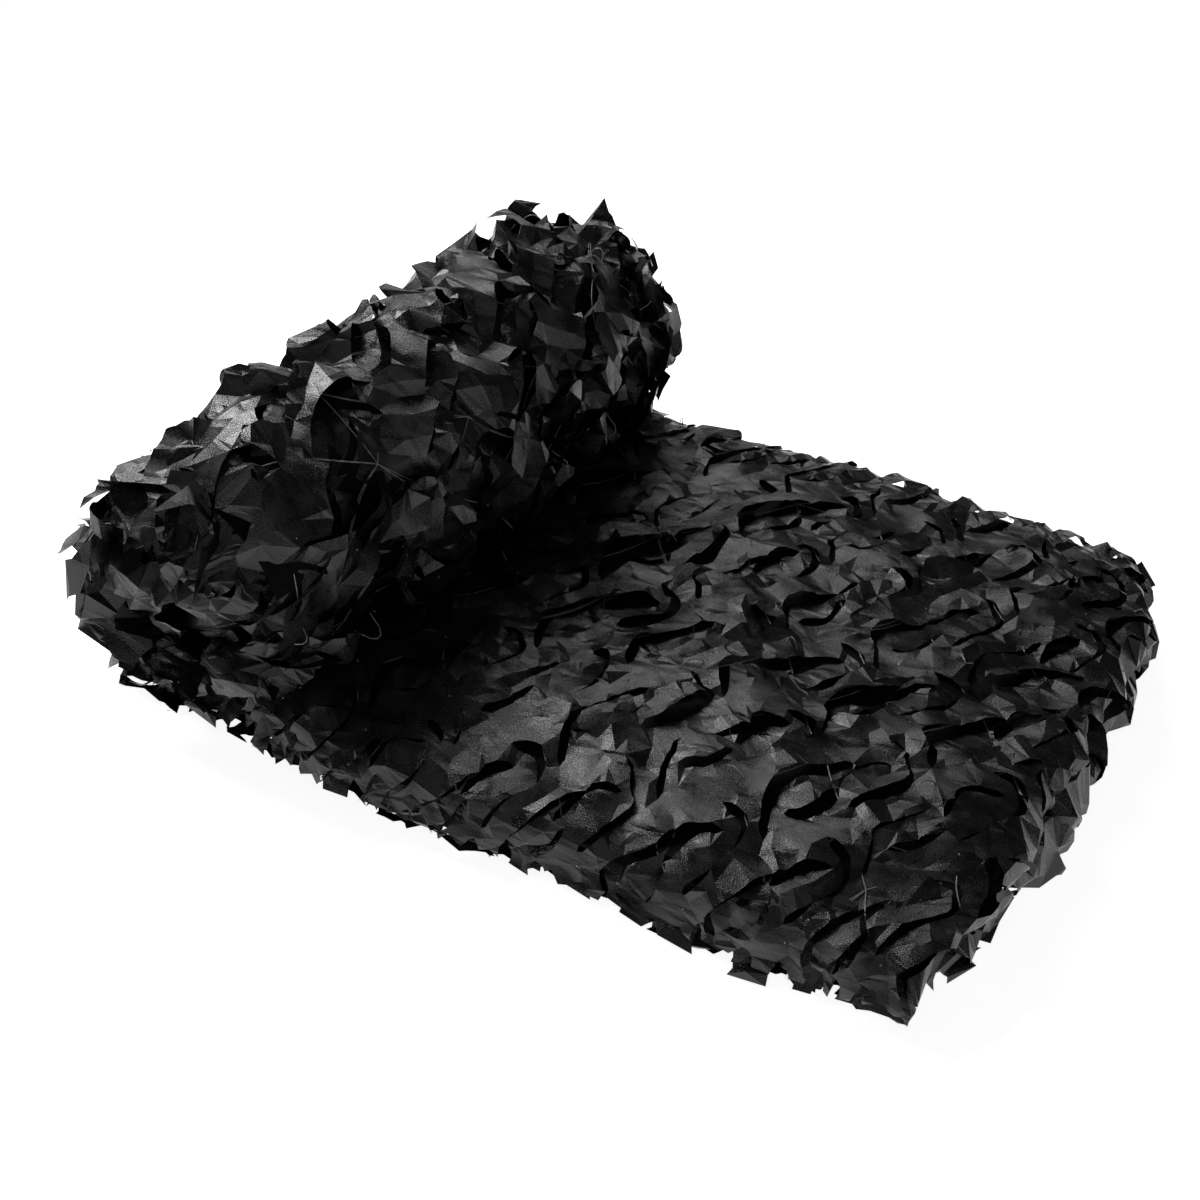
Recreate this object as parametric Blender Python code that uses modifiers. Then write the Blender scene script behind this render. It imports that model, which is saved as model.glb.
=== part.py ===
"""A black camouflage net, folded back and forth into a slab, with the rest of its length rolled up on it.

The net is one long strip of die-cut cloth, folded once along its length. Seen along +Y, the strip starts
at the bottom right, runs back and forth in five plies, and then leaves the top ply at the left as a roll
that rests on the slab. The strip is first drawn with flat plies and a round roll, the leaves are cut in
the plies that show, and everything is then bent into the uneven shape in which the net lies.

Metres, +Z up. The floor is z = 0, +X runs along the slab and +Y along the roll.
"""
import math

import bmesh
import bpy
import numpy as np
from mathutils import Vector

# ---- Driving sizes ----------------------------------------------------------------------------------

FOLDED_WIDTH = 0.82        # a 1.5 m wide net folded once along its length, leaves and all
PLY_THICK = 0.019          # cloth, string mesh and raised leaves, pressed by their own weight
PLY_GAP = 0.0060           # air between two plies of the slab
ROLL_X = -0.283            # the roll's axis, along the slab
ROLL_RADIUS = 0.151        # middle of the outer turn where it leaves the top ply
ROLL_PITCH = 0.0260        # one turn to the next
ROLL_TURNS = 4.25

LEAF_PITCH = 0.125         # the die's repeat along the net
ROW_PITCH = 0.168          # the die's repeat across the net
ROW_SHIFT = 0.020          # each row of cuts starts a little further along
SLIT_ARM = 0.056           # each cut runs this far both ways from its rounded corner
SLIT_TURN = math.radians(30)           # the cuts' first arm is turned this far from the net's length
SLIT_CORNER = 0.022
SLIT_WIDE = 0.009          # how far a raised leaf opens its cut
LEAF_LIFT = 0.030          # a leaf's free corner over the cloth around it
CRUMPLE_SLAB = 0.017       # how unevenly the cloth lies on the slab's top
CRUMPLE_ROLL = 0.020       # and on the roll, where it is looser
RIM_TIP = 0.018            # leaf tips along the two rims stand out or stop short by this much
FOLD_TIP = 0.034           # leaves that stand out from a fold
END_TIP = 0.016            # leaf tips along the loose end

# Where the strip ends or folds along X, from the bottom of the slab to its top. The first row is the
# net's loose end, and each other row is the fold that joins the ply below to the ply above.
FOLDS = (
    {"name": "loose end", "x": 0.548},
    {"name": "first left fold", "x": -0.492},
    {"name": "first right fold", "x": 0.562},
    {"name": "second left fold", "x": -0.478},
    {"name": "second right fold", "x": 0.572},
)

# How the roll differs along its length: its size, and how far it leans out over the slab's left end.
ROLL_SECTIONS = (
    {"y": -0.410, "size": 0.89, "lean": -0.056},
    {"y": -0.320, "size": 0.95, "lean": -0.036},
    {"y": -0.120, "size": 1.00, "lean": -0.008},
    {"y": 0.100, "size": 1.01, "lean": -0.004},
    {"y": 0.290, "size": 1.04, "lean": -0.020},
    {"y": 0.410, "size": 0.90, "lean": -0.016},
)

# ---- Sizes that follow ------------------------------------------------------------------------------

PLY_PITCH = PLY_THICK + PLY_GAP
HALF_WIDTH = FOLDED_WIDTH / 2
TOP_PLY_Z = PLY_THICK / 2 + (len(FOLDS) - 1) * PLY_PITCH
SLAB_TOP = TOP_PLY_Z + PLY_THICK / 2
ROLL_Z = TOP_PLY_Z + ROLL_RADIUS
FOLD_RADIUS = PLY_PITCH / 2

STEP = 0.044               # spacing of the strip's cross lines
COLUMNS = 19               # lengthwise strips across the width where the cloth shows
HIDDEN_COLUMNS = (1, 4, 9, 14, 18)     # the lengthwise lines that hidden cloth keeps
HIDDEN_EVERY = 5           # of the cross lines inside the slab, one in this many is kept
FOLD_STEPS = 5
OUTER_STEP = 15            # degrees between cross lines on the roll's outer turn
INNER_STEP = 30
OUTER_SWEEP = 345          # degrees of the outer turn that show


# ---- The strip's route ------------------------------------------------------------------------------

def straight(x_start, x_end, z, shown):
    """Cross lines along one ply, without its first point, which the piece before has made."""
    count = max(2, round(abs(x_end - x_start) / STEP))
    return [{"x": x_start + (x_end - x_start) * i / count, "z": z, "shown": shown}
            for i in range(1, count + 1)]


def fold_over(x, z_below, side):
    """A half turn from one ply up to the next, on the +X or the -X side."""
    points = []
    for i in range(1, FOLD_STEPS + 1):
        angle = math.pi * i / FOLD_STEPS - math.pi / 2
        points.append({"x": x + side * FOLD_RADIUS * math.cos(angle),
                       "z": z_below + FOLD_RADIUS + FOLD_RADIUS * math.sin(angle),
                       "shown": True})
    return points


def wound_radius(sweep):
    """Distance of the strip's middle from the roll's axis after so many degrees of winding."""
    return ROLL_RADIUS - ROLL_PITCH * sweep / 360


def wound():
    """The roll: clockwise from the top ply, up its left side, over the top and inward."""
    points = []
    sweep = 0
    while sweep < ROLL_TURNS * 360:
        shown = sweep < OUTER_SWEEP
        sweep += OUTER_STEP if shown else INNER_STEP
        angle = math.radians(-90 - sweep)
        radius = wound_radius(sweep)
        points.append({"x": ROLL_X + radius * math.cos(angle),
                       "z": ROLL_Z + radius * math.sin(angle),
                       "shown": shown})
    return points


def strip_route():
    """The whole strip, from the loose end at the bottom to the roll's core."""
    z = PLY_THICK / 2
    route = [{"x": FOLDS[0]["x"], "z": z, "shown": False}]
    for below, above in zip(FOLDS, FOLDS[1:]):
        side = 1 if above["x"] > 0 else -1
        route += straight(below["x"], above["x"], z, False)
        route += fold_over(above["x"], z, side)
        z += PLY_PITCH
    foot = ROLL_X + ROLL_RADIUS * 0.55
    route += straight(FOLDS[-1]["x"], foot, z, True)
    route += straight(foot, ROLL_X, z, False)
    return route + wound()


# ---- The strip as a solid ---------------------------------------------------------------------------

def object_from(bm, name, collection):
    """Puts a finished mesh in the scene."""
    mesh = bpy.data.meshes.new(name)
    bm.to_mesh(mesh)
    bm.free()
    made = bpy.data.objects.new(name, mesh)
    collection.objects.link(made)
    return made


def make_strip(collection):
    """The strip's middle surface: a grid laid along the route, coarser where the cloth is hidden."""
    route = strip_route()
    last = len(route) - 1
    bm = bmesh.new()
    grid = bmesh.ops.create_grid(bm, x_segments=last, y_segments=COLUMNS, size=1)["verts"]
    row_of = {vert: round((vert.co.x + 1) / 2 * last) for vert in grid}
    column_of = {vert: round((vert.co.y + 1) / 2 * COLUMNS) for vert in grid}
    for vert in grid:
        point = route[row_of[vert]]
        vert.co = (point["x"], -HALF_WIDTH + FOLDED_WIDTH * column_of[vert] / COLUMNS, point["z"])
    spare = [edge for edge in bm.edges
             if is_spare(route, sorted(row_of[vert] for vert in edge.verts),
                         sorted(column_of[vert] for vert in edge.verts))]
    bmesh.ops.dissolve_edges(bm, edges=spare, use_verts=True)
    bmesh.ops.recalc_face_normals(bm, faces=bm.faces)
    return object_from(bm, "strip", collection)


def is_spare(route, rows, columns):
    """Lines that the hidden plies and the inner turns do without. The two rims keep all of theirs."""
    row = rows[0]
    if rows[1] > row:
        return 0 < columns[0] < COLUMNS and not route[rows[1]]["shown"] and columns[0] not in HIDDEN_COLUMNS
    at_end = row in (0, len(route) - 1)
    if at_end or columns[0] == 0 or columns[1] == COLUMNS or row % HIDDEN_EVERY == 0:
        return False
    before, here, after = route[row - 1:row + 2]
    flat = abs(here["z"] - before["z"]) < 1e-6 and abs(after["z"] - here["z"]) < 1e-6
    return flat and not here["shown"] and not after["shown"]


# ---- The die's cuts ---------------------------------------------------------------------------------

def slit_outline(corner_along, corner_y):
    """One cut: two arms from a rounded corner, widest at the corner."""
    wide = SLIT_WIDE
    narrow = SLIT_WIDE * 0.5
    inner = SLIT_CORNER + wide * 0.6
    local = ((SLIT_ARM, 0), (SLIT_CORNER, 0), (0, SLIT_CORNER), (0, SLIT_ARM),
             (narrow, SLIT_ARM), (wide, inner), (inner, wide), (SLIT_ARM, narrow))
    cos, sin = math.cos(SLIT_TURN), math.sin(SLIT_TURN)
    return [(corner_along + a * cos + b * sin, corner_y + a * sin - b * cos) for a, b in local]


def on_arms(along, across, corner_along, corner_y):
    """A place as its distances along a cut's two arms, the other way round from slit_outline."""
    cos, sin = math.cos(SLIT_TURN), math.sin(SLIT_TURN)
    a = (along - corner_along) * cos + (across - corner_y) * sin
    b = (along - corner_along) * sin - (across - corner_y) * cos
    return a, b


def slit_corners(along_start, along_end, across_limit):
    """Corners of the cuts on the die's lattice, between two places along the net."""
    corners = []
    rows_each_way = int(across_limit / ROW_PITCH) + 1
    for row in range(-rows_each_way, rows_each_way + 1):
        y = row * ROW_PITCH + SLIT_ARM / 4
        count = int((along_end - along_start) / LEAF_PITCH) + 1
        for i in range(count):
            along = along_start + i * LEAF_PITCH + (row % 3) * ROW_SHIFT
            outline = slit_outline(along, y)
            if all(place < along_end and abs(across) < across_limit for place, across in outline):
                corners.append((along, y))
    return corners


TOP_CORNERS = slit_corners(-0.085, FOLDS[-1]["x"] - 0.008, HALF_WIDTH - 0.022)
ROLL_START = 0.10          # the roll's cuts lie between these places on its outer turn, in metres of cloth
ROLL_END = math.radians(275) * ROLL_RADIUS
ROLL_CORNERS = slit_corners(ROLL_START, ROLL_END, HALF_WIDTH - 0.022)


def sweep_at(along):
    return math.degrees(along / (ROLL_RADIUS + PLY_THICK / 2))


def make_cutters(collection):
    """Every cut as a thin upright block, through the top ply or the roll's outer turn alone."""
    bm = bmesh.new()
    for along, y in TOP_CORNERS:
        low = TOP_PLY_Z - PLY_THICK / 2 - PLY_GAP / 2
        outline = [bm.verts.new((x, across, low)) for x, across in slit_outline(along, y)]
        block(bm, outline, lambda place: place + Vector((0, 0, PLY_THICK + PLY_GAP)))
    for along, y in ROLL_CORNERS:
        middle = sweep_at(along + SLIT_ARM / 2)
        inside = wound_radius(middle) - PLY_THICK / 2 - (ROLL_PITCH - PLY_THICK) / 2
        outline = []
        for place, across in slit_outline(along, y):
            angle = math.radians(-90 - sweep_at(place))
            outline.append(bm.verts.new((ROLL_X + inside * math.cos(angle), across,
                                         ROLL_Z + inside * math.sin(angle))))
        block(bm, outline, lambda place: push_out(place, (inside + ROLL_PITCH * 1.3) / inside))
    bmesh.ops.recalc_face_normals(bm, faces=bm.faces)
    cutter = object_from(bm, "die_cuts", collection)
    cutter.hide_render = True
    cutter.display_type = "WIRE"
    return cutter


def push_out(place, factor):
    """Moves a point away from the roll's axis."""
    return Vector((ROLL_X + (place.x - ROLL_X) * factor, place.y, ROLL_Z + (place.z - ROLL_Z) * factor))


def block(bm, outline, move):
    """A closed block from one outline to a moved copy of it."""
    face = bm.faces.new(outline)
    grown = bmesh.ops.extrude_face_region(bm, geom=[face])["geom"]
    for vert in [item for item in grown if isinstance(item, bmesh.types.BMVert)]:
        vert.co = move(vert.co)


# ---- The shape in which the net lies ----------------------------------------------------------------

def smooth(value):
    """0 below 0, 1 above 1, and an easy curve between."""
    value = np.clip(value, 0, 1)
    return value * value * (3 - 2 * value)


def ragged(along, across):
    """An uneven row of leaf tips, from -1 to 1, different in every ply."""
    return 0.6 * np.sin(along / 0.0131 + across * 310) + 0.4 * np.sin(along / 0.0217 - across * 170)


def crumple(along, across):
    """Leaves that lie over and under each other, from 0 to 1."""
    first = math.tau * along / LEAF_PITCH + 1.8 * np.sin(across / 0.05)
    second = math.tau * across / ROW_PITCH + along / 0.06
    return 0.5 + 0.5 * np.sin(first) * np.sin(second)


def leaf_lift(along, across, corners):
    """How far each leaf's free corner stands up, falling to nothing at the ends of its cut."""
    lift = np.zeros(len(along))
    reach = SLIT_ARM + SLIT_WIDE / 2
    for corner_along, corner_y in corners:
        a, b = on_arms(along, across, corner_along, corner_y)
        on_leaf = (a > 1e-4) & (b > 1e-4) & (a + b > SLIT_CORNER + SLIT_WIDE / 2)
        rise = LEAF_LIFT * np.clip(1 - (a + b) / (reach * 1.25), 0, 1)
        for side in (a, b):
            rise = rise * np.clip((reach - side) / (reach / 2), 0, 1)
        lift = np.where(on_leaf, np.maximum(lift, rise), lift)
    return lift


def raise_top_ply(points, moved):
    """Leaves and crumples on the slab's top, but for where the roll lies on it."""
    x, y, z = points.T
    top_ply = (z > TOP_PLY_Z - PLY_THICK / 2 - 1e-4) & (z < SLAB_TOP + 1e-4) & (x > ROLL_X)
    clear_of_roll = smooth((x - ROLL_X - 0.36 * ROLL_RADIUS) / 0.05)
    lift = leaf_lift(x, y, TOP_CORNERS)
    lift = lift + np.where(z > SLAB_TOP - 1e-4, CRUMPLE_SLAB * crumple(x, y), 0)
    moved[:, 2] += np.where(top_ply, lift * clear_of_roll, 0)


def raise_roll(points, moved):
    """Leaves and crumples on the roll's outer turn, but for where it meets the slab."""
    x, y, z = points.T
    away_x = x - ROLL_X
    away_z = z - ROLL_Z
    radius = np.hypot(away_x, away_z)
    sweep = np.mod(-90 - np.degrees(np.arctan2(away_z, away_x)), 360)
    off_middle = radius - wound_radius(sweep)
    outer_turn = (z > SLAB_TOP + 1e-4) & (np.abs(off_middle) < PLY_THICK / 2 + 0.002)
    clear_of_slab = smooth((sweep - 22) / 25) * smooth((322 - sweep) / 25)
    along = np.radians(sweep) * (ROLL_RADIUS + PLY_THICK / 2)
    lift = leaf_lift(along, y, ROLL_CORNERS)
    lift = lift + np.where(off_middle > 0, CRUMPLE_ROLL * crumple(along, y), 0)
    lift = np.where(outer_turn, lift * clear_of_slab, 0)
    moved[:, 0] += lift * away_x / radius
    moved[:, 2] += lift * away_z / radius


def raise_folds(points, moved):
    """Leaf tips that stand out from the folds and from the loose end."""
    x, y, z = points.T
    skin_radius = FOLD_RADIUS + PLY_THICK / 2
    for number, fold in enumerate(FOLDS[1:]):
        side = 1 if fold["x"] > 0 else -1
        from_x = side * (x - fold["x"])
        from_z = z - (PLY_THICK / 2 + number * PLY_PITCH + FOLD_RADIUS)
        distance = np.hypot(from_x, from_z)
        skin = (z < SLAB_TOP + 1e-4) & (from_x > 0.001) & (np.abs(distance - skin_radius) < 0.004)
        tip = FOLD_TIP * crumple(y + number * 0.37, from_z + y / 3) * from_x / np.maximum(distance, 1e-6)
        moved[:, 0] += np.where(skin, side * tip, 0)
    loose_end = (z < PLY_THICK + 1e-4) & (x > FOLDS[0]["x"] - 1e-4)
    moved[:, 0] += np.where(loose_end, END_TIP * ragged(y, 0), 0)


def raise_rims(points, moved):
    """Leaf tips along both long rims, on every ply and every turn."""
    x, y, z = points.T
    in_slab = z < SLAB_TOP + 1e-4
    radius = np.hypot(x - ROLL_X, z - ROLL_Z)
    sweep = np.mod(-90 - np.degrees(np.arctan2(z - ROLL_Z, x - ROLL_X)), 360)
    along = np.where(in_slab, x, np.radians(sweep) * ROLL_RADIUS * 0.7)
    level = np.where(in_slab, z, radius)
    at_rim = np.abs(np.abs(y) - HALF_WIDTH) < 1e-4
    moved[:, 1] += np.where(at_rim, np.sign(y) * RIM_TIP * ragged(along + 0.4 * y, level), 0)


def raise_surface(points):
    """The drawing with everything that stands out from it."""
    moved = points.copy()
    for raise_part in (raise_top_ply, raise_roll, raise_folds, raise_rims):
        raise_part(points, moved)
    return moved


def lay_down(points):
    """Bends the drawing: rims and ends droop, corners draw in, and the roll swells, tapers and leans."""
    x, y, z = points.T
    above = np.maximum(z - SLAB_TOP, 0)
    below = z - above
    risen = smooth(above / 0.10)
    rim = smooth((np.abs(y) - 0.24) / 0.16)
    right = smooth((x - 0.44) / 0.16)
    left = smooth((-x - 0.40) / 0.12)

    droop = np.where(y < 0, 0.24, 0.08) * rim + 0.10 * right * (1 - rim / 2) + 0.12 * left
    wave = 0.004 * np.sin(x / 0.083 + 1.3 * y) + 0.003 * np.sin(y / 0.057 - x / 0.3)
    new_z = below * (1 - droop) + wave * (1 - rim / 2) * below / SLAB_TOP

    table_y = [row["y"] for row in ROLL_SECTIONS]
    size = np.interp(y, table_y, [row["size"] for row in ROLL_SECTIONS])
    lean = np.interp(y, table_y, [row["lean"] for row in ROLL_SECTIONS])
    new_z = new_z + above * size
    new_x = x + risen * ((size - 1) * (x - ROLL_X) + lean)

    corner = smooth((np.abs(x) - 0.38) / 0.22) * rim * (1 - risen)
    new_x = new_x - np.sign(x) * np.where(x > 0, 0.040, 0.012) * corner
    narrower = np.where(y < 0, 0.055, 0.020) * smooth((x - 0.36) / 0.24)
    new_y = y * (1 - narrower * (1 - risen) + 0.045 * risen)
    bulge = np.where(y < 0, 0.014, 0.004) * rim * smooth(1 - np.abs(x - 0.02) / 0.36)
    new_y = new_y + (np.sign(y) * bulge + 0.005 * np.sin(x / 0.11)) * (1 - risen)
    on_floor = z < 1e-5
    return np.column_stack((new_x, new_y, np.where(on_floor, 0, new_z)))


# ---- Finish -----------------------------------------------------------------------------------------

def cloth_material():
    """Black polyester cloth with a thin coating: nearly black, with a soft satin sheen."""
    material = bpy.data.materials.new("coated_polyester")
    material.use_nodes = True
    shader = material.node_tree.nodes["Principled BSDF"]
    shader.inputs["Base Color"].default_value = (0.012, 0.012, 0.013, 1)
    shader.inputs["Roughness"].default_value = 0.45
    shader.inputs["Metallic"].default_value = 0
    return material


def new_collection(name):
    collection = bpy.data.collections.new(name)
    bpy.context.scene.collection.children.link(collection)
    return collection


for old in list(bpy.data.objects):
    bpy.data.objects.remove(old, do_unlink=True)

net_parts = new_collection("camouflage_net")
cutting_tools = new_collection("cutters")

# The strip with its thickness and its cuts, still drawn flat and round.
strip = make_strip(net_parts)
wall = strip.modifiers.new("cloth and leaves", "SOLIDIFY")
wall.thickness = PLY_THICK
wall.offset = 0
wall.use_even_offset = True
cuts = strip.modifiers.new("die cuts", "BOOLEAN")
cuts.operation = "DIFFERENCE"
cuts.solver = "EXACT"
cuts.object = make_cutters(cutting_tools)

bpy.context.view_layer.update()
drawn = bpy.data.meshes.new_from_object(strip.evaluated_get(bpy.context.evaluated_depsgraph_get()))
net = bpy.data.objects.new("net_cloth", drawn)
net_parts.objects.link(net)
bpy.data.objects.remove(strip, do_unlink=True)

# The same strip as it lies, with the middle of its box over the origin and its lowest ply on the floor.
bm = bmesh.new()
bm.from_mesh(drawn)
bmesh.ops.remove_doubles(bm, verts=bm.verts, dist=0.00005)
bmesh.ops.triangulate(bm, faces=bm.faces)
lying = lay_down(raise_surface(np.array([vert.co[:] for vert in bm.verts])))
middle = (lying.min(axis=0) + lying.max(axis=0)) / 2
middle[2] = 0
for vert, place in zip(bm.verts, lying - middle):
    vert.co = place
bm.to_mesh(drawn)
bm.free()

drawn.materials.clear()
drawn.materials.append(cloth_material())
drawn.shade_smooth()
drawn.set_sharp_from_angle(angle=math.radians(30))
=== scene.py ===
"""A black camouflage net: die-cut leafy cloth tied on a string mesh, folded into a slab and rolled up on it.

The net is one strip, folded once along its length. Five plies of it lie back and forth, and the rest of
the strip leaves the top ply at the left as a roll. Metres, +Z up, +X along the slab, +Y along the roll.
"""
import math
import random

import bmesh
import bpy
import numpy as np
from mathutils import Matrix, Vector, noise
from mathutils.geometry import delaunay_2d_cdt
from mathutils.kdtree import KDTree


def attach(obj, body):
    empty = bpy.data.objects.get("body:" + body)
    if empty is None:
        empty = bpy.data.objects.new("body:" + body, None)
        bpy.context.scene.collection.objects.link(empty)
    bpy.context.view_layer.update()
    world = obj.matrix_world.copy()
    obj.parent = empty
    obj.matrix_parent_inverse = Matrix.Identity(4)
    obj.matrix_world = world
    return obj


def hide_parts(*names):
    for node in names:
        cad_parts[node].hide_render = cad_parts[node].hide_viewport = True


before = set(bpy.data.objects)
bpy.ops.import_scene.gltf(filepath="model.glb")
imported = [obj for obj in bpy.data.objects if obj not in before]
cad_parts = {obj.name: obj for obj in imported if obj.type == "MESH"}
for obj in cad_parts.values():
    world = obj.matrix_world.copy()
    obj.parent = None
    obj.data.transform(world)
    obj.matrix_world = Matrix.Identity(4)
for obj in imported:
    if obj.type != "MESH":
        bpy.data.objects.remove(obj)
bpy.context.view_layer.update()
scene = bpy.context.scene


# ---- Camera, floor and light ------------------------------------------------------------------------
# The net lies on a plain white floor and is seen from above its front right corner. Two soft lights
# stand up at the left and behind, and a weak one fills in from the front.

CAMERA_PLACE = (0.748, -1.393, 1.2)
CAMERA_DOWN = math.radians(35.2)
CAMERA_TURN = math.radians(31)
LENS = 45                   # mm, on a sensor 36 mm wide
FLOOR_HALF = 12
FLOOR_GLOW = 0.89           # the floor shines a little by itself, so that it stays white in the shade
SKY_GLOW = 0.05
LIGHTS_AIM = Vector((0, 0, 0.1))
LIGHTS = (
    {"name": "key", "place": (-2.1, 0.1, 2.1), "size": 1.1, "watts": 63},
    {"name": "back", "place": (-1.2, 1.9, 2.1), "size": 1.2, "watts": 20},
    {"name": "fill", "place": (1.2, -2.6, 2.8), "size": 2.2, "watts": 10},
)


def srgb(code):
    """A hex colour as linear red, green, blue and alpha."""
    channels = [int(code[i:i + 2], 16) / 255 for i in (1, 3, 5)]
    return [c / 12.92 if c <= 0.04045 else ((c + 0.055) / 1.055) ** 2.4 for c in channels] + [1]


def placed(name, data):
    """An object that holds some data, put in the scene."""
    made = bpy.data.objects.new(name, data)
    scene.collection.objects.link(made)
    return made


def new_material(name):
    """A material and its shader."""
    material = bpy.data.materials.new(name)
    material.use_nodes = True
    return material, material.node_tree.nodes["Principled BSDF"]


camera_data = bpy.data.cameras.new("camera")
camera_data.lens = LENS
camera_data.sensor_width = 36
camera = placed("camera", camera_data)
camera.location = CAMERA_PLACE
camera.rotation_euler = (math.pi / 2 - CAMERA_DOWN, 0, CAMERA_TURN)
scene.camera = camera

floor_mesh = bpy.data.meshes.new("floor")
bm = bmesh.new()
bmesh.ops.create_grid(bm, x_segments=1, y_segments=1, size=FLOOR_HALF)
bm.to_mesh(floor_mesh)
bm.free()
floor = placed("floor", floor_mesh)
paper, paper_shader = new_material("white_paper")
paper_shader.inputs["Base Color"].default_value = srgb("#f4f4f4")
paper_shader.inputs["Roughness"].default_value = 0.9
paper_shader.inputs["Emission Color"].default_value = srgb("#ffffff")
paper_shader.inputs["Emission Strength"].default_value = FLOOR_GLOW
floor_mesh.materials.append(paper)

world = bpy.data.worlds.new("studio")
world.use_nodes = True
world.node_tree.nodes["Background"].inputs["Color"].default_value = srgb("#ffffff")
world.node_tree.nodes["Background"].inputs["Strength"].default_value = SKY_GLOW
scene.world = world
scene.view_settings.view_transform = "Standard"

for row in LIGHTS:
    lamp = bpy.data.lights.new(row["name"], "AREA")
    lamp.shape = "SQUARE"
    lamp.size = row["size"]
    lamp.energy = row["watts"]
    light = placed(row["name"], lamp)
    light.location = row["place"]
    light.rotation_euler = (LIGHTS_AIM - Vector(row["place"])).to_track_quat("-Z", "Y").to_euler()


# ---- The die-cut cloth ------------------------------------------------------------------------------
# Thin black polyester with a coating. A die cuts curved slits in rows, so that the cloth between them
# stands up in leaves, and its long edges are cut in flaps. The leaves take their shape in a cloth
# simulation, as the cloth is drawn together between the ties that hold it on its string mesh.

LEAF_PITCH = 0.125          # the die's repeat along the net
ROW_PITCH = 0.166           # and across it
ROW_SHIFT = 0.004           # each row starts a little further along
PITCH_DROP = -0.009         # and each repeat in a row a little lower
SLIT_STRAY = 0.0035         # how far the points of a slit stray from the die's
MESH = 0.0085               # spacing of the cloth's points along its cuts
FACET = 0.023               # and between them, where the stiff cloth breaks into flat facets
FACET_RISE = 0.0016         # how far the facets' corners stand off

# Each slit of the die's repeat, along and across from a corner of the repeat.
SLITS = (
    ((0.040, -0.076), (0.013, -0.032), (0.000, 0.000), (0.003, 0.022), (0.018, 0.033), (0.042, 0.040)),
    ((-0.062, 0.000), (-0.040, -0.036), (-0.008, -0.071), (0.000, -0.090), (-0.005, -0.108),
     (-0.024, -0.144)),
    ((0.022, 0.014), (0.052, -0.002), (0.068, -0.046)),
    ((-0.022, -0.102), (-0.052, -0.086), (-0.068, -0.042)),
)
TIES = ((-0.030, 0.004), (0.030, -0.092))


def fair_curve(points, spacing):
    """Points about a spacing apart on a smooth curve through the given ones."""
    knots = [Vector(point) for point in points]
    knots = [knots[0] * 2 - knots[1]] + knots + [knots[-1] * 2 - knots[-2]]
    out = []
    for a, b, c, d in zip(knots, knots[1:], knots[2:], knots[3:]):
        steps = max(1, round((c - b).length / spacing))
        for i in range(steps):
            t = i / steps
            out.append(0.5 * ((2 * b) + (c - a) * t + (2 * a - 5 * b + 4 * c - d) * t * t
                              + (3 * b - a - 3 * c + d) * t ** 3))
    return out + [knots[-2]]


def die_layout(length, width, rng):
    """The slits and ties that fall on a piece of cloth."""
    slits = []
    ties = []
    for i in range(-2, int(length / LEAF_PITCH) + 3):
        for j in range(-1, int(width / ROW_PITCH) + 3):
            corner = Vector((i * LEAF_PITCH + j * ROW_SHIFT, j * ROW_PITCH + i * PITCH_DROP))
            for slit in SLITS:
                slits.append([corner + Vector(p) + Vector((rng.gauss(0, SLIT_STRAY),
                                                           rng.gauss(0, SLIT_STRAY))) for p in slit])
            ties += [corner + Vector(tie) for tie in TIES]
    return slits, ties


NOTCH_MOUTH = (0.012, 0.028)
NOTCH_DEPTH = (0.015, 0.042)
FLAP_TIPS = (0.018, 0.030, 0.042)
FIRST_NOTCH = 0.004
LAST_NOTCH = 0.07           # no notch starts nearer than this to the cloth's end
PAST_EDGE = 0.004           # the cutter starts outside the cloth
NOTCHED_BAND = 0.06         # no notch is deeper than this


def edge_notches(length, width, rng):
    """Notches along the two long edges, which leave pointed and blunt flaps between them."""
    notches = []
    for far in (0, 1):
        along = FIRST_NOTCH
        while along < length - LAST_NOTCH:
            mouth = rng.uniform(*NOTCH_MOUTH)
            tip = Vector((along + mouth * rng.uniform(0.1, 0.9), rng.uniform(*NOTCH_DEPTH)))
            corners = [Vector((along, -PAST_EDGE)), tip, Vector((along + mouth, -PAST_EDGE))]
            if far:
                corners = [Vector((p.x, width - p.y)) for p in corners]
            notches.append(corners)
            along += mouth + rng.choice(FLAP_TIPS)
    return notches


def finder(places):
    """A tree that finds the nearest of some places in X and Y."""
    tree = KDTree(len(places))
    for i, place in enumerate(places):
        tree.insert((place[0], place[1], 0), i)
    tree.balance()
    return tree


def cut_lines(length, width, slits, notches):
    """The lines that the die cuts: their points and edges, and how many of the points are the slits'."""
    points = []
    edges = []

    def add_chain(chain):
        first = len(points)
        points.extend(chain)
        edges.extend((first + i, first + i + 1) for i in range(len(chain) - 1))

    margin = MESH * 1.6
    for slit in slits:
        run = []
        for p in fair_curve(slit, MESH) + [None]:
            if p is not None and margin < p.x < length - margin and margin < p.y < width - margin:
                run.append(p)
                continue
            if len(run) > 2:
                add_chain(run)
            run = []
    slit_points = len(points)
    for a, tip, b in notches:
        add_chain(fair_curve((a, tip), MESH))
        add_chain(fair_curve((tip, b), MESH))
    return points, edges, slit_points


ROW_TO_ROW = FACET * 0.866              # rows of even triangles
FACET_STRAY = FACET * 0.28
CLEAR_OF_CUTS = FACET * 0.5


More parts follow.
